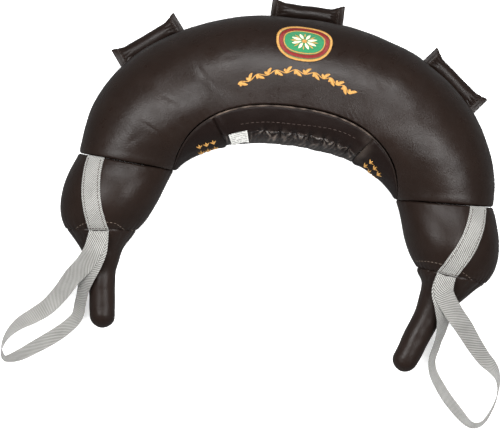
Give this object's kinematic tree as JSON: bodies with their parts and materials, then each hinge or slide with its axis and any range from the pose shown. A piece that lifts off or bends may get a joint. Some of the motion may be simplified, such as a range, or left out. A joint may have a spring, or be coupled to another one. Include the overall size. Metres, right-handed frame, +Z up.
{
  "type": "bulgarian bag",
  "caption": "Crescent-shaped stuffed leather training bag with end caps, stuffed grips, webbing loops and padded outer handles.",
  "frame": {"origin": "on the flattened underside of the bag lying on its back, beneath the middle of the crown", "axes": "+X across the bag's width, +Y towards the crown with the grips towards -Y, +Z up through the bag's thickness"},
  "size_m": [0.7843, 0.6278, 0.1779],
  "materials": {
    "leather": "smooth dark brown, semi-gloss",
    "welt": "rolled edge, slightly worn",
    "webbing": "pale grey ribbed webbing",
    "wool": "wool wadding",
    "sand": "vinyl inner bag filled with sand and wool",
    "label": "white woven tape",
    "badge": "embroidered twill"
  },
  "bodies": {
    "bag": {"front_panel": "leather", "back_panel": "leather", "gusset_left": "leather", "gusset_right": "leather", "gusset_flap": "leather", "pleated_closure": "leather", "front_welt": "welt", "rear_welt": "welt", "cap_front_left": "leather", "cap_back_left": "leather", "cap_front_right": "leather", "cap_back_right": "leather", "strap_run_left": "webbing", "strap_run_right": "webbing", "wadding_front": "wool", "wadding_back": "wool", "sand_bag_left": "sand", "sand_bag_centre": "sand", "sand_bag_right": "sand", "badge_patch": "badge", "handle_tab_left_near": "leather", "handle_tab_left_far": "leather", "handle_tab_top_near": "leather", "handle_tab_top_far": "leather", "handle_tab_right_near": "leather", "handle_tab_right_far": "leather"},
    "left_grip": {"grip_cover_left": "leather", "grip_core_left": "wool"},
    "right_grip": {"grip_cover_right": "leather", "grip_core_right": "wool"},
    "left_loop": {"webbing_loop_left": "webbing"},
    "right_loop": {"webbing_loop_right": "webbing"},
    "left_handle": {"handle_cover_left": "leather", "handle_core_left": "wool"},
    "top_handle": {"handle_cover_top": "leather", "handle_core_top": "wool"},
    "right_handle": {"handle_cover_right": "leather", "handle_core_right": "wool"},
    "label": {"care_label": "label"}
  },
  "joints": [
    {"name": "left_grip_bend", "type": "hinge", "parent": "bag", "child": "left_grip", "pos_m": [-0.27394, -0.26404, 0.059], "axis": [0, 0, 1], "range_deg": [0, 15], "stiffness_Nm_per_rad": 6},
    {"name": "right_grip_bend", "type": "hinge", "parent": "bag", "child": "right_grip", "pos_m": [0.27394, -0.26404, 0.059], "axis": [0, 0, -1], "range_deg": [0, 15], "stiffness_Nm_per_rad": 6},
    {"name": "left_loop_swing", "type": "hinge", "parent": "bag", "child": "left_loop", "pos_m": [-0.27637, -0.26771, 0.10847], "axis": [-0.9927, -0.1102, -0.0482], "range_deg": [0, 80]},
    {"name": "right_loop_swing", "type": "hinge", "parent": "bag", "child": "right_loop", "pos_m": [0.26521, -0.26645, 0.10784], "axis": [-0.9835, 0.1092, -0.1444], "range_deg": [0, 80]},
    {"name": "left_handle_tilt", "type": "hinge", "parent": "bag", "child": "left_handle", "pos_m": [-0.22862, 0.02173, 0.028], "axis": [0.7849, 0.6196, 0], "range_deg": [-20, 20], "stiffness_Nm_per_rad": 2},
    {"name": "top_handle_tilt", "type": "hinge", "parent": "bag", "child": "top_handle", "pos_m": [0, 0.08969, 0.028], "axis": [1, 0, 0], "range_deg": [-20, 20], "stiffness_Nm_per_rad": 2},
    {"name": "right_handle_tilt", "type": "hinge", "parent": "bag", "child": "right_handle", "pos_m": [0.22863, 0.02173, 0.028], "axis": [0.7849, -0.6196, 0], "range_deg": [-20, 20], "stiffness_Nm_per_rad": 2},
    {"name": "care_label_lift", "type": "hinge", "parent": "bag", "child": "label", "pos_m": [-0.08466, -0.08554, 0.14582], "axis": [-0.9683, -0.2312, -0.0946], "range_deg": [0, 60], "stiffness_Nm_per_rad": 0.02}
  ]
}
